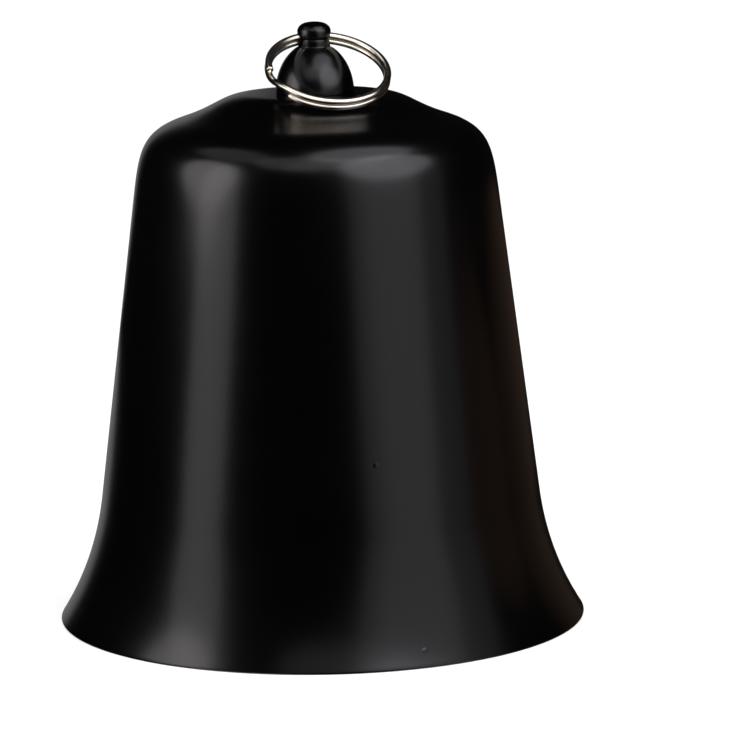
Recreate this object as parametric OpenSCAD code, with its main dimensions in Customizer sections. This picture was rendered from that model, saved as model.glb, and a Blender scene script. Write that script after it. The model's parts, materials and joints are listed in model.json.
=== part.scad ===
// Small temple bell: a thin black bell with a flared mouth, a screwed-on hanging boss that
// carries a split ring, and a ball clapper hung from an eye bolt by an oval link.
// Origin at the centre of the mouth plane, +Z up. The ring leans towards -Y and swings about X.

/* [Bell] */
// Mouth diameter
mouth_d = 115; // [100:1:130]
// Overall height, from the mouth plane to the top of the boss
bell_h = 130; // [129:1:140]
// Height of the flat crown that the boss stands on
crown_z = 114.7; // [110:0.1:116]
// Wall thickness of the shell
wall = 1.6; // [1:0.1:2.5]
// Height at which the flare runs out into the straight waist
flare_h = 27; // [20:1:34]
// Diameter of the waist where the flare ends
waist_low_d = 96; // [90:0.2:100]
// Diameter of the waist where the shoulder starts
waist_top_d = 80; // [74:0.2:84]
// Height at which the shoulder starts to turn in
shoulder_z = 89.5; // [80:0.5:94]
// Diameter at the hollow of the ogee between shoulder and crown
ogee_d = 58.4; // [56:0.2:64]
// Height of the ogee's hollow below the crown
ogee_drop = 5.3; // [4:0.1:7]
// Diameter of the flat crown
crown_flat_d = 28.4; // [24:0.2:34]

/* [Hanging boss] */
// Diameter of the boss where it stands on the crown
boss_d = 17; // [15:0.5:20]
// Diameter of the bead on top of the boss
bead_d = 7.3; // [7:0.1:9]
// Diameter of the cross hole that the ring passes through
ring_hole_d = 3.6; // [3.6:0.1:3.8]
// Height of the cross hole's axis below the top of the bead
ring_hole_drop = 3.6; // [3.4:0.1:4]

/* [Split ring] */
// Outer diameter of the ring
ring_od = 27; // [25:0.5:30]
// Radial width of the flattened wire
wire_w = 1.5; // [1.2:0.1:1.5]
// Axial height of the flattened wire
wire_h = 1.25; // [1:0.05:1.25]
// Slope of the resting ring below the horizontal, degrees
ring_rest = 28.5; // [20:0.5:28.5]

/* [Crown fastening] */
// Thread diameter of the eye bolt
bolt_d = 5; // [5:0.5:6]
// Width across flats of the crown nut
nut_af = 8; // [8:0.5:10]
// Thickness of the crown nut
nut_t = 4; // [3:0.5:5]
// Wire diameter of the bolt's eye
bolt_eye_wire_d = 2.4; // [2:0.1:2.6]

/* [Clapper] */
// Diameter of the clapper ball
ball_d = 24; // [18:1:24]
// Height of the ball's centre above the mouth plane
ball_z = 21; // [18:1:26]
// Diameter of the clapper rod, and of the wire in its eye
rod_d = 3; // [2.4:0.1:3]
// Wire diameter of the oval link
link_wire_d = 1.6; // [1.4:0.1:1.8]

/* [Hidden] */
$fn = 96;

// Bell outline
lip_w = 1.2 * wall;           // the leaning wall, cut square across at the mouth
lip_round = 0.3;              // rounding of the mouth's outer edge
lip_turn = 36;                // angle at which the rounding runs into the flare, degrees
flare_pull = 14.5;            // reach of the flare curve down from the waist
waist_slope = (waist_low_d - waist_top_d) / 2 / (shoulder_z - flare_h);
shoulder_pull = [13, 9];      // reach of the shoulder curve along the waist and along the ogee
ogee_slope = 0.33;            // fall of the ogee's hollow, per mm of radius
ogee_pull = [8, 6];           // reach of the ogee curve at the hollow and at the crown

// Boss heights
boss_dome_h = 11;             // half axis of the boss's elliptical dome
collar_r = 3.45;              // collar between dome and bead
dome_top_r = 3.75;            // dome radius at the small ledge under the collar
bead_half_h = 2.4;            // half height of the bead
bead_squareness = 2.5;        // 2 is an oval bead, more is squarer
groove_r = 3.3;               // groove between bead and collar
groove_h = 0.25;              // height of the groove
thread_depth = 8;             // blind hole for the eye bolt
thread_end_gap = 0.5;         // free depth left above the bolt

// Split ring
ring_mean_r = (ring_od - wire_w) / 2;
ring_offset = 0.25;           // shifts the wire in its hole so that its curve is centred there
turn_gap = 0.1;               // gap between the two turns
jog_start = 143;              // where the wire starts to step from one turn to the other, degrees
jog_end = 180;                // where the step ends
wire_steps = 96;
wire_sides = 10;
wire_squareness = 3;          // 2 is an oval section, more is squarer

// Crown stack, from the crown's inside down
bolt_hole_d = bolt_d + 0.4;
washer_id = bolt_d + 0.3;
washer_od = 10;
washer_t = 1;
lock_id = bolt_d + 0.1;
lock_od = 9.2;
lock_t = 1.2;
lock_slit = 0.8;
chamfer = 0.4;                // corner chamfer of both nuts
washer_top = crown_z - wall;
lock_top = washer_top - washer_t;
nut_top = lock_top - lock_t;

// Hanging chain of eye, link and clapper eye
bolt_eye_r = 4;               // mean radius of the bolt's eye
eye_z = nut_top - nut_t - 7.7; // centre of the bolt's eye
hang_gap = 0.08;              // gap between wires that hang in each other
link_r = 3.2;                 // mean radius of the link's ends
link_straight = 4;
link_top = eye_z - bolt_eye_r + (bolt_eye_wire_d + link_wire_d) / 2 + hang_gap;
link_bottom = link_top - link_straight - 2 * link_r;
rod_eye_r = 3.6;              // mean radius of the clapper's eye
rod_eye_z = link_bottom + (link_wire_d + rod_d) / 2 + hang_gap - rod_eye_r;
seat_r = 3.4;                 // flat on the ball under the jam nut
seat_z = ball_z + sqrt(pow(ball_d / 2, 2) - pow(seat_r, 2));
rod_depth = 12;               // thread length inside the ball
jam_af = 5.5;
jam_t = 2.4;

// Curves
function bezier2(p, t) = p[0] * pow(1 - t, 2) + p[1] * 2 * t * (1 - t) + p[2] * t * t;
function bezier3(p, t) = p[0] * pow(1 - t, 3) + p[1] * 3 * t * pow(1 - t, 2)
                       + p[2] * 3 * t * t * (1 - t) + p[3] * pow(t, 3);

// Outer outline as [radius, height], from the mouth's edge up to the flat crown
flare_end = [waist_low_d / 2, flare_h];
shoulder_start = [waist_top_d / 2, shoulder_z];
ogee_point = [ogee_d / 2, crown_z - ogee_drop];
crown_edge = [crown_flat_d / 2, crown_z];
lip = [for (a = [-90 : 18 : lip_turn])
       [mouth_d / 2, lip_round] + lip_round * [cos(a) - 1, sin(a)]];
flare = [lip[len(lip) - 1],
         flare_end + [waist_slope, -1] * flare_pull,
         flare_end];
shoulder = [shoulder_start,
            shoulder_start + [-waist_slope, 1] * shoulder_pull[0],
            ogee_point + [1, -ogee_slope] * shoulder_pull[1],
            ogee_point];
ogee = [ogee_point,
        ogee_point + [-1, ogee_slope] * ogee_pull[0],
        crown_edge + [ogee_pull[1], 0],
        crown_edge];
flare_steps = 18;
shoulder_steps = 16;
ogee_steps = 14;
outline = concat(
    [for (i = [0 : flare_steps]) bezier2(flare, i / flare_steps)],
    [for (i = [0 : shoulder_steps]) bezier3(shoulder, i / shoulder_steps)],
    [for (i = [1 : ogee_steps]) bezier3(ogee, i / ogee_steps)]);

// The outline moved inwards by the wall, square to the curve
function inward(p, i) =
    let (a = p[max(i - 1, 0)], b = p[min(i + 1, len(p) - 1)], d = (b - a) / norm(b - a))
    p[i] + [-d[1], d[0]] * wall;
inner_outline = [for (i = [0 : len(outline) - 1]) inward(outline, i)];

module bell_shell() {
    last = len(outline) - 1;
    color([0.02, 0.02, 0.022])
    rotate_extrude()
    polygon(concat(
        [[mouth_d / 2 - lip_w, 0]],
        lip,
        [for (i = [1 : last]) outline[i]],
        [[bolt_hole_d / 2, crown_z], [bolt_hole_d / 2, crown_z - wall]],
        [for (i = [last : -1 : 1]) if (inner_outline[i][1] > lip_round) inner_outline[i]]));
}

module crown_boss() {
    dome_angle = acos(dome_top_r / (boss_d / 2));
    dome_steps = 18;
    bead_z = bell_h - bead_half_h;
    bead_power = 2 / bead_squareness;
    bead_low = -acos(pow(groove_r / (bead_d / 2), 1 / bead_power));
    bead_steps = 14;
    dome = [for (i = [0 : dome_steps])
            [boss_d / 2 * cos(dome_angle * i / dome_steps),
             crown_z + boss_dome_h * sin(dome_angle * i / dome_steps)]];
    bead = [for (i = [0 : bead_steps])
            let (a = bead_low + (90 - bead_low) * i / bead_steps)
            [bead_d / 2 * pow(cos(a), bead_power),
             bead_z + bead_half_h * sign(a) * pow(abs(sin(a)), bead_power)]];
    collar_base = dome[dome_steps][1];
    groove_z = bead[0][1];
    color([0.03, 0.03, 0.034])
    difference() {
        rotate_extrude()
        polygon(concat(
            [[0, crown_z]],
            dome,
            [[collar_r, collar_base], [collar_r, groove_z - groove_h], [groove_r, groove_z - groove_h]],
            bead));
        translate([0, 0, bell_h - ring_hole_drop])
        rotate([0, 90, 0])
        cylinder(d = ring_hole_d, h = boss_d, center = true);
        translate([0, 0, crown_z - 1])
        cylinder(d = bolt_d, h = thread_depth + 1);
    }
}

// Height of the wire's centre at an angle along its path: one turn, a step, then the other turn
function wire_level(a) =
    let (s = min(max((a - 360 - jog_start) / (jog_end - jog_start), 0), 1))
    (wire_h + turn_gap) / 2 * (2 * s * s * (3 - 2 * s) - 1);

function power(x) = sign(x) * pow(abs(x), 2 / wire_squareness);

module split_ring() {
    from = jog_end;
    to = 720 + jog_start;
    points = [for (i = [0 : wire_steps], k = [0 : wire_sides - 1])
              let (a = from + (to - from) * i / wire_steps,
                   b = 360 * (k + 0.5) / wire_sides,
                   r = ring_mean_r + wire_w / 2 * power(cos(b)))
              [r * cos(a), r * sin(a), wire_level(a) + wire_h / 2 * power(sin(b))]];
    sides = [for (i = [0 : wire_steps - 1], k = [0 : wire_sides - 1])
             let (p = i * wire_sides, q = p + wire_sides, n = (k + 1) % wire_sides)
             [p + k, p + n, q + n, q + k]];
    ends = [[for (k = [wire_sides - 1 : -1 : 0]) k],
            [for (k = [0 : wire_sides - 1]) wire_steps * wire_sides + k]];
    color([0.82, 0.80, 0.76])
    translate([0, 0, bell_h - ring_hole_drop])
    rotate([180 + ring_rest, 0, 0])
    translate([0, ring_mean_r - ring_offset, 0])
    polyhedron(points = points, faces = concat(sides, ends));
}

// A flat ring standing on z = 0
module flat_ring(od, id, t) {
    difference() {
        cylinder(d = od, h = t);
        translate([0, 0, -1])
        cylinder(d = id, h = t + 2);
    }
}

module crown_washer() {
    color([0.75, 0.75, 0.76])
    translate([0, 0, washer_top - washer_t])
    flat_ring(washer_od, washer_id, washer_t);
}

module lock_washer() {
    color([0.45, 0.45, 0.47])
    translate([0, 0, lock_top - lock_t])
    difference() {
        flat_ring(lock_od, lock_id, lock_t);
        rotate([0, 0, 40])
        translate([0, -lock_slit / 2, -1])
        cube([lock_od, lock_slit, lock_t + 2]);
    }
}

// A hexagon nut standing on z = 0, with turned corners at both ends
module hex_nut(af, bore, t) {
    corner_r = af / 2 / cos(30);
    difference() {
        intersection() {
            cylinder(r = corner_r, h = t, $fn = 6);
            rotate_extrude()
            polygon([[0, 0], [corner_r - chamfer, 0], [corner_r, chamfer],
                     [corner_r, t - chamfer], [corner_r - chamfer, t], [0, t]]);
        }
        translate([0, 0, -1])
        cylinder(d = bore, h = t + 2);
    }
}

module crown_nut() {
    color([0.75, 0.75, 0.76])
    translate([0, 0, nut_top - nut_t])
    rotate([0, 0, 12])
    hex_nut(nut_af, bolt_d, nut_t);
}

// A wire ring standing on edge, with its hole along Y
module wire_eye(mean_r, wire_d) {
    rotate([90, 0, 0])
    rotate_extrude()
    translate([mean_r, 0])
    circle(d = wire_d, $fn = 48);
}

module eye_bolt() {
    shank_end = crown_z + thread_depth - thread_end_gap;
    shank_start = eye_z + bolt_eye_r;
    neck_h = 2;
    color([0.75, 0.75, 0.76])
    union() {
        translate([0, 0, eye_z])
        wire_eye(bolt_eye_r, bolt_eye_wire_d);
        translate([0, 0, shank_start])
        cylinder(d1 = bolt_eye_wire_d, d2 = bolt_d, h = neck_h);
        translate([0, 0, shank_start + neck_h])
        cylinder(d = bolt_d, h = shank_end - shank_start - neck_h);
    }
}

module clapper_link() {
    half = link_straight / 2;
    color([0.75, 0.75, 0.76])
    translate([0, 0, (link_top + link_bottom) / 2])
    rotate([90, 0, 90])
    union() {
        for (end = [0, 1]) {
            mirror([0, end, 0])
            translate([0, half, 0])
            rotate_extrude(angle = 180)
            translate([link_r, 0])
            circle(d = link_wire_d, $fn = 48);
        }
        for (side = [-1, 1]) {
            translate([side * link_r, half, 0])
            rotate([90, 0, 0])
            cylinder(d = link_wire_d, h = link_straight);
        }
    }
}

module clapper_rod() {
    rod_top = rod_eye_z - rod_eye_r;
    color([0.75, 0.75, 0.76])
    union() {
        translate([0, 0, rod_eye_z])
        wire_eye(rod_eye_r, rod_d);
        translate([0, 0, seat_z - rod_depth])
        cylinder(d = rod_d, h = rod_top - seat_z + rod_depth);
    }
}

module clapper_jam_nut() {
    color([0.75, 0.75, 0.76])
    translate([0, 0, seat_z])
    hex_nut(jam_af, rod_d, jam_t);
}

module clapper_ball() {
    color([0.72, 0.6, 0.32])
    difference() {
        translate([0, 0, ball_z])
        sphere(d = ball_d);
        translate([-ball_d, -ball_d, seat_z])
        cube([2 * ball_d, 2 * ball_d, ball_d]);
        translate([0, 0, seat_z - rod_depth - thread_end_gap])
        cylinder(d = rod_d, h = ball_d);
    }
}

bell_shell();
crown_boss();
split_ring();
crown_washer();
lock_washer();
crown_nut();
eye_bolt();
clapper_link();
clapper_rod();
clapper_jam_nut();
clapper_ball();
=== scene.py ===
"""A small black temple bell with a split ring on its boss and a ball clapper inside."""
import bmesh
import bpy
import json
import math
from mathutils import Matrix, Vector

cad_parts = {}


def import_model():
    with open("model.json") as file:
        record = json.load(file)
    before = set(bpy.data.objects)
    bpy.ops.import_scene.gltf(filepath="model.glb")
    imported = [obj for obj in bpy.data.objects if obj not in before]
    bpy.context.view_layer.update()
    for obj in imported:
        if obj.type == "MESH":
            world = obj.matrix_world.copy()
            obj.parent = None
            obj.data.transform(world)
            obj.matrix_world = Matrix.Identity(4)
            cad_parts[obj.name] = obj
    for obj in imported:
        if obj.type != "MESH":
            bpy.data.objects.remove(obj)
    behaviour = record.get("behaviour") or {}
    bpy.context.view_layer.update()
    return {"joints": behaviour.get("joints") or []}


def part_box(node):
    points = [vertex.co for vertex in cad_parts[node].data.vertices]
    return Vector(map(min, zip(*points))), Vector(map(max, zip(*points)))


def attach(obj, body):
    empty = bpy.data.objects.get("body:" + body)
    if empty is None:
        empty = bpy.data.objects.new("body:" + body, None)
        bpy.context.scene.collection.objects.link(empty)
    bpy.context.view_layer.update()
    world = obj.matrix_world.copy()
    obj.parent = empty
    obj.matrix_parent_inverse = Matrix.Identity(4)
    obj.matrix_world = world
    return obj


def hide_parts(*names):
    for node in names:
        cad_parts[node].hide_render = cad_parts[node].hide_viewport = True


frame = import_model()

MM = 0.001
TINY = 1e-7
joints = {j["name"]: j for j in frame["joints"]}


# ---------------------------------------------------------------- mesh helpers

def shade(bm, crease_deg):
    """Smooth faces, with edges sharper than crease_deg kept crisp."""
    for face in bm.faces:
        face.smooth = True
    for edge in bm.edges:
        edge.smooth = edge.calc_face_angle(0.0) < math.radians(crease_deg)


def mesh_object(name, bm, crease_deg=35):
    """A smooth-shaded object from a bmesh."""
    bmesh.ops.recalc_face_normals(bm, faces=bm.faces)
    shade(bm, crease_deg)
    mesh = bpy.data.meshes.new(name)
    bm.to_mesh(mesh)
    bm.free()
    obj = bpy.data.objects.new(name, mesh)
    bpy.context.scene.collection.objects.link(obj)
    return obj


def lathe(name, outline, segments, radius_at=None, crease_deg=35):
    """Turns a closed outline of (radius, height) about Z. radius_at(r, z, angle) may reshape it."""
    bm = bmesh.new()
    rows = []
    for radius, height in outline:
        if radius < TINY:
            rows.append([bm.verts.new((0, 0, height))])
            continue
        row = []
        for k in range(segments):
            angle = 2 * math.pi * k / segments
            r = radius_at(radius, height, angle) if radius_at else radius
            row.append(bm.verts.new((r * math.cos(angle), r * math.sin(angle), height)))
        rows.append(row)
    for a, b in zip(rows, rows[1:] + rows[:1]):
        for k in range(segments):
            n = (k + 1) % segments
            if len(a) == 1 and len(b) == 1:
                break
            if len(a) == 1:
                bm.faces.new((a[0], b[n], b[k]))
            elif len(b) == 1:
                bm.faces.new((a[k], a[n], b[0]))
            else:
                bm.faces.new((a[k], a[n], b[n], b[k]))
    return mesh_object(name, bm, crease_deg)


def sweep(name, stations, closed=False, crease_deg=35):
    """Skins a list of stations, each a loop of points, and caps the ends of an open one."""
    bm = bmesh.new()
    loops = [[bm.verts.new(p) for p in station] for station in stations]
    pairs = list(zip(loops, loops[1:]))
    if closed:
        pairs.append((loops[-1], loops[0]))
    for a, b in pairs:
        for k in range(len(a)):
            n = (k + 1) % len(a)
            bm.faces.new((a[k], a[n], b[n], b[k]))
    if not closed:
        bm.faces.new(loops[0])
        bm.faces.new(loops[-1])
    return mesh_object(name, bm, crease_deg)


def applied(obj):
    """Replaces an object's mesh by the one its modifiers give."""
    depsgraph = bpy.context.evaluated_depsgraph_get()
    mesh = bpy.data.meshes.new_from_object(obj.evaluated_get(depsgraph))
    obj.modifiers.clear()
    obj.data = mesh
    return obj


def boolean(obj, other, operation):
    """Cuts other out of obj, or keeps what the two share, and removes other."""
    modifier = obj.modifiers.new("cut", "BOOLEAN")
    modifier.operation = operation
    modifier.object = other
    modifier.solver = "EXACT"
    applied(obj)
    bpy.data.objects.remove(other)
    return obj


def crisp(obj, crease_deg):
    """Clean faces and smooth shading again after a boolean, with its sharp edges marked."""
    bm = bmesh.new()
    bm.from_mesh(obj.data)
    bmesh.ops.dissolve_degenerate(bm, dist=TINY, edges=bm.edges)
    shade(bm, crease_deg)
    bm.to_mesh(obj.data)
    bm.free()
    return obj


def blended(obj, voxel, rounds):
    """Welds a union of simple forms into one skin with soft inner corners, as a forging has."""
    remesh = obj.modifiers.new("weld", "REMESH")
    remesh.mode = "VOXEL"
    remesh.voxel_size = voxel
    soften = obj.modifiers.new("soften", "SMOOTH")
    soften.factor = 0.6
    soften.iterations = rounds
    applied(obj)
    for polygon in obj.data.polygons:
        polygon.use_smooth = True
    return obj


def joined(name, objects):
    """One object holding the meshes of several."""
    bm = bmesh.new()
    for obj in objects:
        bm.from_mesh(obj.data)
        bpy.data.objects.remove(obj)
    return mesh_object(name, bm)


def bezier(points, t):
    """A point on the Bezier curve of any number of control points."""
    points = [Vector(p) for p in points]
    while len(points) > 1:
        points = [a.lerp(b, t) for a, b in zip(points, points[1:])]
    return points[0]


def arc(centre, radius, start_deg, end_deg, steps):
    """Points on an arc in (radius, height), both ends included."""
    return [Vector((centre[0] + radius * math.cos(math.radians(a)),
                    centre[1] + radius * math.sin(math.radians(a))))
            for a in (start_deg + (end_deg - start_deg) * i / steps for i in range(steps + 1))]


def rounded_box_outline(r_in, r_out, z_low, z_high, rounding):
    """A washer's section with rounded corners."""
    corner_steps = 4
    corners = [((r_out - rounding, z_low + rounding), -90, 0),
               ((r_out - rounding, z_high - rounding), 0, 90),
               ((r_in + rounding, z_high - rounding), 90, 180),
               ((r_in + rounding, z_low + rounding), 180, 270)]
    points = []
    for centre, start, end in corners:
        points += arc(centre, rounding, start, end, corner_steps)
    return points


# ---------------------------------------------------------------- bell shell

MOUTH_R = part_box("bell_shell")[1].x
CROWN_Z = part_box("bell_shell")[1].z
WALL = 1.6 * MM
LIP_ROUND = 0.3 * MM
LIP_STEPS = 8


def bell_outline():
    """The outer outline from the mouth's rounded edge up to the flat crown."""
    flare_end = Vector((48 * MM, 27 * MM))
    shoulder_start = Vector((40 * MM, 89.5 * MM))
    ogee_point = Vector((29.2 * MM, CROWN_Z - 5.3 * MM))
    crown_edge = Vector((14.2 * MM, CROWN_Z))
    waist_slope = (flare_end.x - shoulder_start.x) / (shoulder_start.y - flare_end.y)
    ogee_slope = 0.33
    lip_end_deg = 36
    flare_pull, shoulder_pull, ogee_pull = 14.5 * MM, 13 * MM, 9 * MM
    hollow_pull, crown_pull = 8 * MM, 6 * MM
    flare_steps, waist_steps, shoulder_steps, ogee_steps = 40, 30, 44, 32

    lip = arc((MOUTH_R - LIP_ROUND, LIP_ROUND), LIP_ROUND, -90, lip_end_deg, LIP_STEPS)
    flare = [lip[-1], flare_end + Vector((waist_slope, -1)) * flare_pull, flare_end]
    shoulder = [shoulder_start,
                shoulder_start + Vector((-waist_slope, 1)) * shoulder_pull,
                ogee_point + Vector((1, -ogee_slope)) * ogee_pull,
                ogee_point]
    ogee = [ogee_point,
            ogee_point + Vector((-1, ogee_slope)) * hollow_pull,
            crown_edge + Vector((crown_pull, 0)),
            crown_edge]
    outline = list(lip)
    outline += [bezier(flare, i / flare_steps) for i in range(1, flare_steps + 1)]
    outline += [flare_end.lerp(shoulder_start, i / waist_steps) for i in range(1, waist_steps)]
    outline += [bezier(shoulder, i / shoulder_steps) for i in range(shoulder_steps + 1)]
    outline += [bezier(ogee, i / ogee_steps) for i in range(1, ogee_steps + 1)]
    return outline


def bell_shell():
    """The spun shell: the outline, moved inwards by the wall for its inside, and turned."""
    hole_r = 2.7 * MM
    rim_width = 1.2 * WALL
    seat_steps = 6
    outline = bell_outline()
    inner = []
    for i, point in enumerate(outline):
        before, after = outline[max(i - 1, 0)], outline[min(i + 1, len(outline) - 1)]
        along = (after - before).normalized()
        moved = point + Vector((-along.y, along.x)) * WALL
        if moved.y > LIP_ROUND and i > LIP_STEPS:
            inner.append(moved)
    seat = [Vector((hole_r + (outline[-1].x - hole_r) * k / seat_steps, CROWN_Z))
            for k in range(seat_steps - 1, -1, -1)]
    under = [Vector((p.x, CROWN_Z - WALL)) for p in reversed(seat)]
    inside_lip = arc((MOUTH_R - rim_width + LIP_ROUND, LIP_ROUND), LIP_ROUND, 180, 270, 5)
    section = outline + seat + under + list(reversed(inner)) + inside_lip
    return lathe("bell_shell_skin", section, 256, crease_deg=50)


# ---------------------------------------------------------------- hanging boss

BOSS_LOW, BOSS_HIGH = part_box("crown_boss")
BORE_Z = joints["ring_swing"]["pos_m"][2]


def crown_boss():
    """The turned boss, from its foot over dome, collar and groove to the bead, and its cross hole."""
    dome_r, dome_h, dome_top_r = BOSS_HIGH.x, 11 * MM, 3.75 * MM
    collar_r, collar_round = 3.45 * MM, 0.12 * MM
    groove_r = 3.3 * MM
    bead_r, bead_half_h = 3.65 * MM, 2.4 * MM
    bead_power = 2 / 2.5
    foot_round = 0.18 * MM
    dome_steps, bead_steps, collar_steps = 60, 47, 6

    foot = arc((dome_r - foot_round, BOSS_LOW.z + foot_round), foot_round, -90, 0, 4)
    dome_end = math.acos(dome_top_r / dome_r)
    dome = [Vector((dome_r * math.cos(dome_end * i / dome_steps),
                    BOSS_LOW.z + dome_h * math.sin(dome_end * i / dome_steps)))
            for i in range(2, dome_steps + 1)]
    collar_z = dome[-1].y
    bead_z = BOSS_HIGH.z - bead_half_h
    low = -math.acos((groove_r / bead_r) ** (1 / bead_power))
    bead = [Vector((bead_r * math.cos(a) ** bead_power,
                    bead_z + bead_half_h * math.copysign(abs(math.sin(a)) ** bead_power, a)))
            for a in (low + (math.pi / 2 - low) * i / bead_steps for i in range(bead_steps))]
    bead.append(Vector((0, BOSS_HIGH.z)))
    groove_z = bead[0].y
    collar_foot = Vector((collar_r + 0.06 * MM, collar_z + 0.05 * MM))
    collar_low = Vector((collar_r, collar_z + 0.2 * MM))
    collar_high = Vector((collar_r, groove_z - 0.45 * MM))
    groove_edge = Vector((groove_r + 0.05 * MM, groove_z - 0.2 * MM))
    groove_floor = Vector((groove_r, groove_z - 0.1 * MM))
    collar = [collar_foot]
    collar += [collar_low.lerp(collar_high, k / collar_steps) for k in range(collar_steps + 1)]
    collar += arc((collar_r - collar_round, groove_z - 0.4 * MM), collar_round, 20, 80, 4)
    collar += [groove_edge, groove_floor]
    outline = [Vector((0, BOSS_LOW.z))] + foot + dome + collar + bead
    boss = lathe("crown_boss_turned", outline, 160, crease_deg=50)

    # (radius, distance from the boss's axis) in mm, from the flared end to the straight bore
    flare_mm = ((0, 6), (2.6, 6), (2.3, 3.75), (1.95, 3.25), (1.8, 2.8))
    trumpet = [Vector((radius * MM, -reach * MM)) for radius, reach in flare_mm]
    trumpet += [Vector((p.x, -p.y)) for p in reversed(trumpet)]
    cutter = lathe("bore_cutter", trumpet, 64)
    cutter.data.transform(Matrix.Translation((0, 0, BORE_Z)) @ Matrix.Rotation(math.pi / 2, 4, "Y"))
    return crisp(boolean(boss, cutter, "DIFFERENCE"), 40)


# ---------------------------------------------------------------- split ring

def split_ring():
    """Two turns of flattened wire: one turn, a step across, and the other turn."""
    mean_r = 12.75 * MM
    offset = 0.25 * MM
    wire_w, wire_h, gap = 1.5 * MM, 1.25 * MM, 0.1 * MM
    corner, corner_steps = 0.57 * MM, 5
    step_start, step_end = 143, 180
    rest_deg = 28.5
    steps = 420
    end_round, end_shrink = 0.12 * MM, 0.84

    section = []
    for sx, sy, start in ((1, 1, 0), (-1, 1, 90), (-1, -1, 180), (1, -1, 270)):
        centre = (sx * (wire_w / 2 - corner), sy * (wire_h / 2 - corner))
        section += arc(centre, corner, start, start + 90, corner_steps)

    place = (Matrix.Translation((0, 0, BORE_Z))
             @ Matrix.Rotation(math.radians(180 + rest_deg), 4, "X")
             @ Matrix.Translation((0, mean_r - offset, 0)))

    def level(angle):
        """The wire's height above the middle of the two turns, with an eased step."""
        s = min(max((angle - 360 - step_start) / (step_end - step_start), 0), 1)
        return (wire_h + gap) / 2 * (2 * s * s * (3 - 2 * s) - 1)

    def station(angle, shrink=1):
        """The wire's section at this angle in degrees."""
        a = math.radians(angle)
        out = Vector((math.cos(a), math.sin(a), 0))
        return [place @ (out * (mean_r + p.x * shrink) + Vector((0, 0, level(angle) + p.y * shrink)))
                for p in section]

    first, last = step_end, 720 + step_start
    round_deg = math.degrees(end_round / mean_r)
    stations = [station(first, end_shrink)]
    for i in range(steps + 1):
        stations.append(station(first + round_deg + (last - first - 2 * round_deg) * i / steps))
    stations.append(station(last, end_shrink))
    return sweep("split_ring_wire", stations, crease_deg=50)


# ---------------------------------------------------------------- fasteners and clapper

def hex_nut(name, across_flats, z_low, z_high, bore_r, turn_deg):
    """A hexagon nut with turned corners and a countersunk hole."""
    corner_r = across_flats / 2 / math.cos(math.radians(30))
    reach = 1 * MM
    cham = 0.35 * MM
    sink_r = bore_r + cham * 0.7
    flat_r = across_flats / 2 * 0.96
    barrel_r = corner_r * 1.02
    shoulder = (barrel_r - flat_r) * 0.55
    off_corner_deg = 1.3

    bm = bmesh.new()
    rings = []
    for z in (z_low - reach, z_high + reach):
        rings.append([bm.verts.new((corner_r * math.cos(math.radians(60 * k + turn_deg)),
                                    corner_r * math.sin(math.radians(60 * k + turn_deg)), z))
                      for k in range(6)])
    bm.faces.new(rings[0])
    bm.faces.new(rings[1])
    for k in range(6):
        n = (k + 1) % 6
        bm.faces.new((rings[0][k], rings[0][n], rings[1][n], rings[1][k]))
    prism = mesh_object(name, bm)
    barrel = lathe("barrel", [Vector((sink_r, z_low)), Vector((flat_r, z_low)),
                              Vector((barrel_r, z_low + shoulder)),
                              Vector((barrel_r, z_high - shoulder)),
                              Vector((flat_r, z_high)), Vector((sink_r, z_high)),
                              Vector((bore_r, z_high - cham)), Vector((bore_r, z_low + cham))], 96)
    # the barrel is turned a little, so that none of its edges runs exactly through a corner
    barrel.data.transform(Matrix.Rotation(math.radians(turn_deg + off_corner_deg), 4, "Z"))
    boolean(prism, barrel, "INTERSECT")
    bevel = prism.modifiers.new("edges", "BEVEL")
    bevel.width = 0.07 * MM
    bevel.segments = 2
    bevel.limit_method = "ANGLE"
    bevel.angle_limit = math.radians(28)
    bevel.use_clamp_overlap = True
    return crisp(applied(prism), 40)


def threaded_rod(name, radius, z_low, z_high, thread_low, thread_high, pitch):
    """A rod with a rolled thread between two heights, plain elsewhere."""
    depth = pitch * 0.5
    rows_per_turn = 10
    rows = int((z_high - z_low) / pitch * rows_per_turn) + 1
    cham = 0.35 * MM
    flank, crest = 2.6, 0.15
    core_share = 0.9

    def thread(r, z, angle):
        """The radius with the thread cut in, for the rod's outer surface only."""
        if r < radius * core_share:
            return r
        phase = (z / pitch - angle / (2 * math.pi)) % 1
        ridge = min(1.0, max(0.0, abs(phase - 0.5) * flank - crest))
        run_in = min(1.0, max(0.0, (z - thread_low) / pitch))
        run_out = min(1.0, max(0.0, (thread_high - z) / pitch))
        return r - depth * ridge * (run_in * run_out)

    outline = [Vector((0, z_low)), Vector((radius - cham, z_low))]
    outline += [Vector((radius, z_low + cham + (z_high - z_low - 2 * cham) * i / rows))
                for i in range(rows + 1)]
    outline += [Vector((radius - cham, z_high)), Vector((0, z_high))]
    return lathe(name, outline, 48, thread, crease_deg=60)


def wire_loop(name, centre, mean_r, wire_r):
    """A round wire bent into a ring that stands on edge, with its hole along Y."""
    segments, sides = 96, 24
    stations = []
    for i in range(segments):
        a = 2 * math.pi * i / segments
        out = Vector((math.cos(a), 0, math.sin(a)))
        turns = (2 * math.pi * k / sides for k in range(sides))
        stations.append([centre + out * (mean_r + wire_r * math.cos(b))
                         + Vector((0, wire_r * math.sin(b), 0)) for b in turns])
    return sweep(name, stations, closed=True)


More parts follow.
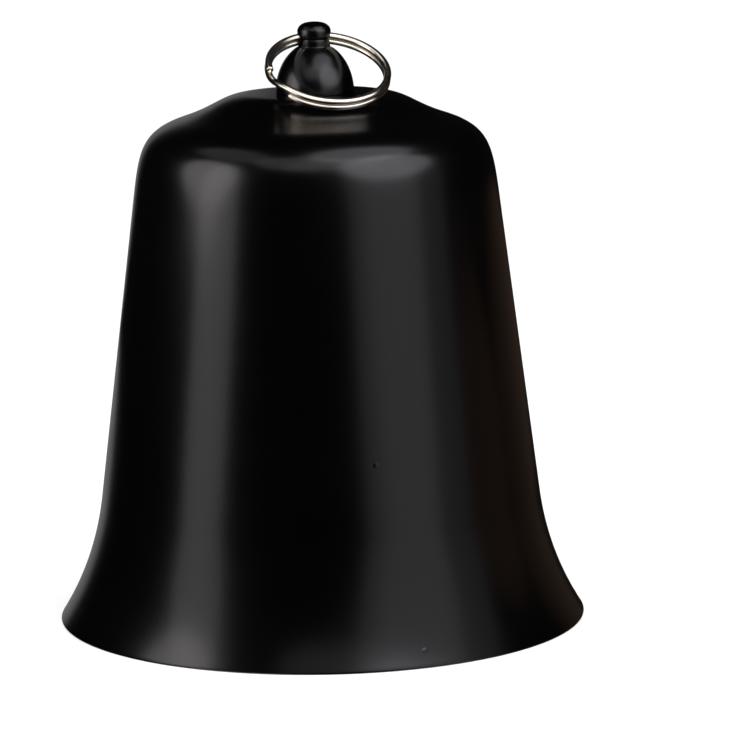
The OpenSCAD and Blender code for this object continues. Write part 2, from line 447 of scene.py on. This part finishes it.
LINK_LOW, LINK_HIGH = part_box("clapper_link")
EYE_LOW, EYE_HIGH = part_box("eye_bolt")
ROD_LOW, ROD_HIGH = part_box("clapper_rod")
BALL_LOW, BALL_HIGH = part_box("clapper_ball")
NUT_LOW, NUT_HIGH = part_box("crown_nut")
JAM_LOW, JAM_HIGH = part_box("clapper_jam_nut")
BOLT_R = EYE_HIGH.y
ROD_R = ROD_HIGH.y
CROWN_NUT_FLATS = 8 * MM
JAM_NUT_FLATS = 5.5 * MM


def eye_bolt():
    """A forged eye that runs out into a threaded shank."""
    wire_r = 1.2 * MM
    mean_r = EYE_HIGH.x - wire_r
    root_r = BOLT_R * 0.93
    pitch = 0.8 * MM
    centre = Vector((0, 0, EYE_LOW.z + EYE_HIGH.x))
    neck_z = centre.z + mean_r
    loop = wire_loop("loop", centre, mean_r, wire_r)
    neck = lathe("neck", [Vector((0, neck_z - 0.3 * MM)), Vector((wire_r, neck_z - 0.3 * MM)),
                          Vector((wire_r * 1.1, neck_z + 0.8 * MM)),
                          Vector((root_r, neck_z + 2 * MM)),
                          Vector((root_r, neck_z + 3 * MM)), Vector((0, neck_z + 3 * MM))], 48)
    eye = blended(joined("eye_bolt_eye", [loop, neck]), voxel=0.16 * MM, rounds=6)
    shank = threaded_rod("eye_bolt_shank", BOLT_R, neck_z + 1.9 * MM, EYE_HIGH.z,
                         neck_z + 2.2 * MM, EYE_HIGH.z, pitch)
    return eye, shank


def clapper_rod():
    """The clapper's eye, bent from the rod and welded shut, and the rod's threaded foot."""
    mean_r = ROD_HIGH.x - ROD_R
    pitch = 0.5 * MM
    centre = Vector((0, 0, ROD_HIGH.z - ROD_HIGH.x))
    eye_foot = centre.z - mean_r
    plain_end = JAM_HIGH.z + 6 * MM
    loop = wire_loop("loop", centre, mean_r, ROD_R)
    stem = lathe("stem", [Vector((0, plain_end)), Vector((ROD_R, plain_end)),
                          Vector((ROD_R, eye_foot)), Vector((0, eye_foot))], 48)
    eye = blended(joined("clapper_rod_eye", [loop, stem]), voxel=0.2 * MM, rounds=5)
    foot = threaded_rod("clapper_rod_foot", ROD_R, ROD_LOW.z, plain_end + 0.2 * MM,
                        ROD_LOW.z, plain_end - 0.6 * MM, pitch)
    return eye, foot


def clapper_link():
    """An oval of wire, with a low weld bead half way down one side."""
    wire_r = LINK_HIGH.x
    end_r = LINK_HIGH.y - wire_r
    middle_z = (LINK_LOW.z + LINK_HIGH.z) / 2
    half = (LINK_HIGH.z - LINK_LOW.z) / 2 - wire_r - end_r
    bead_h, bead_reach = 0.09 * MM, 0.5 * MM
    bend_steps, side_steps, wire_sides = 32, 14, 20
    path = []
    for sign, start in ((1, 0), (-1, 180)):
        bend = (math.radians(start + 180 * i / bend_steps) for i in range(bend_steps + 1))
        path += [Vector((0, end_r * math.cos(a), middle_z + sign * half + end_r * math.sin(a)))
                 for a in bend]
        z_from, z_to = middle_z + sign * half, middle_z - sign * half
        path += [Vector((0, -sign * end_r, z_from + (z_to - z_from) * i / side_steps))
                 for i in range(1, side_steps)]
    stations = []
    for i, p in enumerate(path):
        along = (path[(i + 1) % len(path)] - path[i - 1]).normalized()
        side = Vector((1, 0, 0))
        out = side.cross(along)
        bead = 0.0
        if p.y > 0:
            bead = bead_h * math.exp(-((p.z - middle_z) / bead_reach) ** 2)
        turns = (2 * math.pi * k / wire_sides for k in range(wire_sides))
        stations.append([p + side * wire_r * math.cos(b) + out * (wire_r + bead) * math.sin(b)
                         for b in turns])
    return sweep("clapper_link_wire", stations, closed=True)


def clapper_ball():
    """A turned ball with a flat under the nut, a drilled hole and a small centre mark below."""
    ball_r = 12 * MM
    sink, edge_round, drill_past = 0.2 * MM, 0.25 * MM, 0.5 * MM
    mark_depth, mark_r, mark_rim = 0.7 * MM, 0.55 * MM, 0.12 * MM
    centre_z = BALL_LOW.z + ball_r
    flat_r = math.sqrt(max(ball_r ** 2 - (BALL_HIGH.z - centre_z) ** 2, 0))
    edge_angle = math.degrees(math.atan2(BALL_HIGH.z - centre_z, flat_r))
    outline = [Vector((0, BALL_LOW.z + mark_depth)), Vector((mark_r, BALL_LOW.z + mark_rim))]
    outline += arc((0, centre_z), ball_r, -86, edge_angle - 2, 120)
    outline += [Vector((flat_r - edge_round, BALL_HIGH.z)), Vector((ROD_R + sink, BALL_HIGH.z)),
                Vector((ROD_R, BALL_HIGH.z - sink)), Vector((ROD_R, ROD_LOW.z - drill_past)),
                Vector((0, ROD_LOW.z - drill_past))]
    return lathe("clapper_ball_turned", outline, 160, crease_deg=30)


def washer():
    """A stamped flat washer with rounded edges."""
    low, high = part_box("crown_washer")
    hole_r, rounding = 2.65 * MM, 0.12 * MM
    return lathe("crown_washer_flat",
                 rounded_box_outline(hole_r, high.x, low.z, high.z, rounding), 96)


def lock_washer():
    """A spring washer, cut through on the slant."""
    low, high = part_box("lock_washer")
    hole_r, rounding = 2.55 * MM, 0.1 * MM
    outline = rounded_box_outline(hole_r, high.x, low.z, high.z, rounding)
    middle_z = (low.z + high.z) / 2
    slit_deg, half_gap_deg, slant_deg_per_mm = 40, 6.5, 7
    slant_fade = 8
    steps = 120
    stations = []
    for t in (i / steps for i in range(steps + 1)):
        loop = []
        for p in outline:
            slant = slant_deg_per_mm * (p.y - middle_z) / MM * abs(2 * t - 1) ** slant_fade
            a = math.radians(slit_deg + half_gap_deg + (360 - 2 * half_gap_deg) * t + slant)
            loop.append(Vector((p.x * math.cos(a), p.x * math.sin(a), p.y)))
        stations.append(loop)
    return sweep("lock_washer_spring", stations)


# ---------------------------------------------------------------- materials

class Look:
    """A node material, with short ways to add what each finish needs."""

    def __init__(self, name, colour, metallic, roughness):
        self.material = bpy.data.materials.new(name)
        self.material.use_nodes = True
        self.tree = self.material.node_tree
        self.shader = self.tree.nodes["Principled BSDF"]
        self.shader.inputs["Base Color"].default_value = (*colour, 1)
        self.shader.inputs["Metallic"].default_value = metallic
        self.shader.inputs["Roughness"].default_value = roughness
        self.shader.inputs["IOR"].default_value = 1.5
        self.place = self.node("ShaderNodeTexCoord").outputs["Object"]
        self.normal = None

    def node(self, kind, **values):
        """A new node of this kind, with these settings."""
        made = self.tree.nodes.new(kind)
        for key, value in values.items():
            setattr(made, key, value)
        return made

    def link(self, output, target):
        self.tree.links.new(output, target)

    def stretched(self, scale):
        """The object's coordinates, scaled apart along X, Y and Z."""
        mapping = self.node("ShaderNodeMapping")
        mapping.inputs["Scale"].default_value = scale
        self.link(self.place, mapping.inputs["Vector"])
        return mapping.outputs["Vector"]

    def noise(self, scale, detail=2.0, roughness=0.5, where=None):
        """Noise with about this many features a metre. where gives other coordinates."""
        texture = self.node("ShaderNodeTexNoise")
        texture.inputs["Scale"].default_value = scale
        texture.inputs["Detail"].default_value = detail
        texture.inputs["Roughness"].default_value = roughness
        self.link(where or self.place, texture.inputs["Vector"])
        return texture.outputs["Fac"]

    def spots(self, scale):
        """The distance from the nearest of the points scattered over the object, times scale."""
        texture = self.node("ShaderNodeTexVoronoi")
        texture.inputs["Scale"].default_value = scale
        self.link(self.place, texture.inputs["Vector"])
        return texture.outputs["Distance"]

    def ramp(self, value, *stops):
        """Maps a value through (position, level or colour) stops."""
        made = self.node("ShaderNodeValToRGB")
        elements = made.color_ramp.elements
        while len(elements) < len(stops):
            elements.new(0.5)
        for element, (position, level) in zip(elements, stops):
            element.position = position
            element.color = (*level, 1) if isinstance(level, tuple) else (level, level, level, 1)
        self.link(value, made.inputs["Fac"])
        return made.outputs["Color"]

    def maths(self, operation, a, b):
        """A sum or product of two values, each a number or a node's output."""
        made = self.node("ShaderNodeMath", operation=operation)
        for socket, value in zip(made.inputs, (a, b)):
            if isinstance(value, (int, float)):
                socket.default_value = value
            else:
                self.link(value, socket)
        return made.outputs["Value"]

    def mixed(self, coarse, fine, share):
        """The coarse value for its share, and the fine one for the rest."""
        return self.maths("ADD", self.maths("MULTIPLY", coarse, share),
                          self.maths("MULTIPLY", fine, 1 - share))

    def range(self, value, low, high):
        """Spreads a 0 to 1 value from low to high."""
        made = self.node("ShaderNodeMapRange")
        made.inputs["To Min"].default_value = low
        made.inputs["To Max"].default_value = high
        self.link(value, made.inputs["Value"])
        return made.outputs["Result"]

    def colour(self, output):
        self.link(output, self.shader.inputs["Base Color"])

    def roughness(self, output):
        self.link(output, self.shader.inputs["Roughness"])

    def bump(self, height, distance, strength=1.0):
        """Adds a bump on top of the bumps there are."""
        made = self.node("ShaderNodeBump")
        made.inputs["Strength"].default_value = strength
        made.inputs["Distance"].default_value = distance
        self.link(height, made.inputs["Height"])
        if self.normal:
            self.link(self.normal, made.inputs["Normal"])
        self.normal = made.outputs["Normal"]
        self.link(self.normal, self.shader.inputs["Normal"])


def black_enamel(name, roughness, peel):
    """Semi-gloss black paint: a faint orange peel, a few dust nibs and a little dulling."""
    look = Look(name, (0.0003, 0.0003, 0.0003), metallic=0, roughness=roughness)
    cloud = look.noise(38, detail=4, roughness=0.6)
    fine = look.noise(900, detail=3, roughness=0.55)
    uneven, nib_height = 0.05, 0.00012
    look.roughness(look.range(look.mixed(cloud, fine, 0.7), roughness - uneven, roughness + uneven))
    look.colour(look.ramp(cloud, (0.35, (0.0002, 0.0002, 0.0003)), (0.65, (0.0005, 0.0004, 0.0004))))
    look.bump(look.noise(650), peel)
    look.bump(look.noise(120), peel * 2)
    look.bump(look.ramp(look.spots(55), (0.0, 1.0), (0.035, 0.0)), nib_height, strength=0.7)
    return look.material


def plated(name, colour, roughness, scratch):
    """Bright or dull plate over wire or bar, with a fine drawn grain and a slight mottle."""
    look = Look(name, colour, metallic=1, roughness=roughness)
    mottle = look.noise(260, detail=4, roughness=0.6)
    grain = look.noise(2200, detail=3, roughness=0.6)
    look.roughness(look.range(look.mixed(mottle, grain, 0.6), roughness * 0.6, roughness * 1.5))
    dark = tuple(c * 0.86 for c in colour)
    look.colour(look.ramp(mottle, (0.35, dark), (0.6, colour)))
    look.bump(grain, scratch)
    look.bump(look.noise(420), scratch * 3)
    return look.material


def turned_brass():
    """Brass from the lathe: fine rings across the axis, and a light tarnish."""
    look = Look("turned_brass", (0.70, 0.50, 0.20), metallic=1, roughness=0.3)
    rings = look.noise(1, detail=3, roughness=0.6, where=look.stretched((40, 40, 5200)))
    tarnish = look.noise(160, detail=5, roughness=0.65)
    look.colour(look.ramp(tarnish,
                          (0.3, (0.42, 0.27, 0.10)),
                          (0.5, (0.66, 0.47, 0.19)),
                          (0.7, (0.78, 0.58, 0.27))))
    look.roughness(look.range(look.mixed(rings, tarnish, 0.5), 0.18, 0.42))
    look.bump(rings, distance=0.00002)
    return look.material


def spring_steel():
    """Dark, oiled steel."""
    look = Look("spring_steel", (0.10, 0.10, 0.11), metallic=1, roughness=0.38)
    oil = look.noise(300, detail=4, roughness=0.6)
    look.colour(look.ramp(oil, (0.35, (0.06, 0.06, 0.068)), (0.65, (0.15, 0.145, 0.14))))
    look.roughness(look.range(oil, 0.28, 0.5))
    look.bump(look.noise(1500, detail=3, roughness=0.6), distance=0.000012)
    return look.material


def studio_floor():
    """Matt white paper on top, and clear from underneath, so that the bell's inside can be seen."""
    look = Look("studio_floor", (0.86, 0.86, 0.86), metallic=0, roughness=0.9)
    paper = look.noise(90, detail=3, roughness=0.6)
    look.colour(look.ramp(paper, (0.3, (0.85, 0.85, 0.85)), (0.7, (0.87, 0.87, 0.87))))
    clear = look.node("ShaderNodeBsdfTransparent")
    mix = look.node("ShaderNodeMixShader")
    output = look.tree.nodes["Material Output"]
    look.link(look.node("ShaderNodeNewGeometry").outputs["Backfacing"], mix.inputs["Fac"])
    look.link(look.shader.outputs["BSDF"], mix.inputs[1])
    look.link(clear.outputs["BSDF"], mix.inputs[2])
    look.link(mix.outputs["Shader"], output.inputs["Surface"])
    return look.material


# ---------------------------------------------------------------- the pieces

def place(piece, body, node, slot, material):
    """Puts a finished piece on its body, in place of its CAD node."""
    piece.data.materials.clear()
    piece.data.materials.append(material)
    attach(piece, body)
    if node:
        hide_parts(node)


shell_paint = black_enamel("black_enamel_shell", roughness=0.225, peel=0.000004)
boss_paint = black_enamel("black_enamel_boss", roughness=0.24, peel=0.000003)
nickel = plated("bright_nickel", (0.82, 0.76, 0.67), roughness=0.14, scratch=0.000004)
zinc = plated("dull_zinc", (0.60, 0.61, 0.63), roughness=0.32, scratch=0.000008)
brass = turned_brass()
dark_steel = spring_steel()

place(bell_shell(), "bell", "bell_shell", "black_paint", shell_paint)
place(crown_boss(), "bell", "crown_boss", "black_paint_boss", boss_paint)
ring = split_ring()
place(ring, "ring", "split_ring", "nickel_plate", nickel)
place(washer(), "bell", "crown_washer", "zinc_plate", zinc)
place(lock_washer(), "bell", "lock_washer", "spring_steel", dark_steel)
place(hex_nut("crown_nut_hex", CROWN_NUT_FLATS, NUT_LOW.z, NUT_HIGH.z, BOLT_R, turn_deg=12),
      "bell", "crown_nut", "zinc_plate", zinc)
bolt_eye, bolt_shank = eye_bolt()
place(bolt_eye, "bell", "eye_bolt", "zinc_plate", zinc)
place(bolt_shank, "bell", None, "zinc_plate", zinc)
place(clapper_link(), "link", "clapper_link", "zinc_plate", zinc)
rod_eye, rod_foot = clapper_rod()
place(rod_eye, "clapper", "clapper_rod", "zinc_plate", zinc)
place(rod_foot, "clapper", None, "zinc_plate", zinc)
place(hex_nut("clapper_jam_nut_hex", JAM_NUT_FLATS, JAM_LOW.z, JAM_HIGH.z, ROD_R, turn_deg=0),
      "clapper", "clapper_jam_nut", "zinc_plate", zinc)
place(clapper_ball(), "clapper", "clapper_ball", "turned_brass", brass)


# ---------------------------------------------------------------- floor, light and camera

CAMERA_AZIMUTH_DEG = -15
BELL_MIDDLE = Vector((0, 0, 0.07))


def direction(azimuth_deg):
    """The level direction from the bell to what stands at this angle to the camera's right."""
    a = math.radians(CAMERA_AZIMUTH_DEG + azimuth_deg)
    return Vector((math.sin(a), -math.cos(a), 0))


def floor():
    """A wide floor with a round opening under the bell, which lets light in from below."""
    opening_r = MOUTH_R - 1.5 * MM
    segments = 128
    bm = bmesh.new()
    rows = []
    for radius in (opening_r, 0.2, 1, 10, 100):
        turns = (2 * math.pi * k / segments for k in range(segments))
        rows.append([bm.verts.new((radius * math.cos(a), radius * math.sin(a), 0)) for a in turns])
    for near, far in zip(rows, rows[1:]):
        for k in range(segments):
            n = (k + 1) % segments
            bm.faces.new((near[k], far[k], far[n], near[n]))
    mesh = bpy.data.meshes.new("floor")
    bm.to_mesh(mesh)
    bm.free()
    sheet = bpy.data.objects.new("floor", mesh)
    bpy.context.scene.collection.objects.link(sheet)
    sheet.data.materials.append(studio_floor())
    sheet.visible_glossy = False


def softbox(name, azimuth, distance, height, width, tall, radiance, colour, lights_only=None):
    """An oval area light that faces the bell. radiance is what a mirror would show.

    azimuth is in degrees to the right of the camera. Lengths are in metres.
    """
    light = bpy.data.lights.new(name, "AREA")
    light.shape = "ELLIPSE"
    light.size = width
    light.size_y = tall
    oval_area = math.pi / 4 * width * tall
    light.energy = radiance * math.pi * oval_area
    light.color = colour
    obj = bpy.data.objects.new(name, light)
    obj.location = direction(azimuth) * distance + Vector((0, 0, height))
    away = obj.location - BELL_MIDDLE
    obj.rotation_mode = "QUATERNION"
    obj.rotation_quaternion = away.to_track_quat("Z", "Y")
    obj.visible_camera = False
    bpy.context.scene.collection.objects.link(obj)
    if lights_only:
        lit = bpy.data.collections.new(name + "_lights")
        lit.objects.link(lights_only)
        obj.light_linking.receiver_collection = lit


def world():
    """White for what the camera and matt surfaces see, and dark for reflections."""
    made = bpy.data.worlds.new("studio")
    made.use_nodes = True
    tree = made.node_tree
    background = tree.nodes["Background"]
    path = tree.nodes.new("ShaderNodeLightPath")
    mix = tree.nodes.new("ShaderNodeMix")
    mix.data_type = "RGBA"
    white, dark = (1.3, 1.3, 1.3, 1), (0.006, 0.006, 0.0065, 1)
    mix.inputs["A"].default_value = white
    mix.inputs["B"].default_value = dark
    tree.links.new(path.outputs["Is Glossy Ray"], mix.inputs["Factor"])
    tree.links.new(mix.outputs["Result"], background.inputs["Color"])
    bpy.context.scene.world = made


def camera():
    """A long lens a little above the bell, which stands left of the middle of the view."""
    distance, height = 0.850, 0.2022
    pitch, yaw, roll = (math.radians(v) for v in (9.98, 0.82, -0.75))
    data = bpy.data.cameras.new("camera")
    data.sensor_width = 36
    data.lens = 189.6
    obj = bpy.data.objects.new("camera", data)
    back = direction(0)
    ahead = -back
    right = ahead.cross(Vector((0, 0, 1)))
    level_look = ahead * math.cos(yaw) + right * math.sin(yaw)
    look = level_look * math.cos(pitch) - Vector((0, 0, math.sin(pitch)))
    level_side = look.cross(Vector((0, 0, 1))).normalized()
    level_up = level_side.cross(look)
    side = level_side * math.cos(roll) + level_up * math.sin(roll)
    up = level_up * math.cos(roll) - level_side * math.sin(roll)
    turn = Matrix((side, up, -look)).transposed().to_4x4()
    obj.matrix_world = Matrix.Translation(back * distance + Vector((0, 0, height))) @ turn
    bpy.context.scene.collection.objects.link(obj)
    bpy.context.scene.camera = obj


floor()
world()
WARM, COOL, AMBER = (1.0, 0.965, 0.955), (0.95, 0.955, 1.0), (1.0, 0.6, 0.4)
# name, azimuth, distance, height, width, tall, radiance, colour
# the bell's left highlight
softbox("left_panel", -61.5, 0.40, 0.13, 0.185, 0.44, 1.15, WARM)
softbox("left_lamp", -70, 0.20, 0.157, 0.15, 0.12, 1.95, WARM)
softbox("left_top", -74, 0.18, 0.32, 0.26, 0.13, 0.45, WARM)
# its right highlight
softbox("right_panel", 56, 0.40, 0.20, 0.45, 0.70, 0.24, COOL)
softbox("right_core", 42, 0.38, 0.20, 0.34, 0.70, 0.45, COOL)
softbox("right_lamp", 48, 0.17, 0.20, 0.21, 0.12, 1.8, COOL)
softbox("right_top", 46, 0.14, 0.355, 0.30, 0.19, 1.45, COOL)
# the crown and the shoulder, from the front
softbox("front_lamp", -8, 0.13, 0.215, 0.17, 0.085, 0.65, COOL)
softbox("front_top", 12, 0.45, 0.50, 0.60, 0.25, 0.33, COOL)
# the faint brown glow near the right edge
softbox("warm_near", 92, 0.30, 0.03, 0.18, 0.11, 0.10, AMBER)
softbox("warm_far", 135, 0.40, 0.02, 0.35, 0.12, 0.06, AMBER)
# the back, for other views
softbox("back_panel", -167, 0.60, 0.12, 0.26, 0.30, 0.30, WARM)
softbox("back_edge", -152, 0.15, 0.01, 0.11, 0.07, 0.32, WARM)
# the inside, for views from below
softbox("under_left", -50, 0.26, -0.34, 0.40, 0.40, 2.6, WARM)
softbox("under_right", 75, 0.22, -0.34, 0.25, 0.40, 2.0, COOL)
# the split ring alone
softbox("ring_low", -10, 0.45, 0.20, 0.70, 0.50, 1.0, WARM, ring)
softbox("ring_high", -10, 0.25, 0.48, 0.60, 0.40, 1.4, WARM, ring)
softbox("ring_over", 170, 0.02, 0.58, 0.46, 0.30, 1.2, WARM, ring)
camera()
bpy.context.scene.view_settings.view_transform = "Standard"
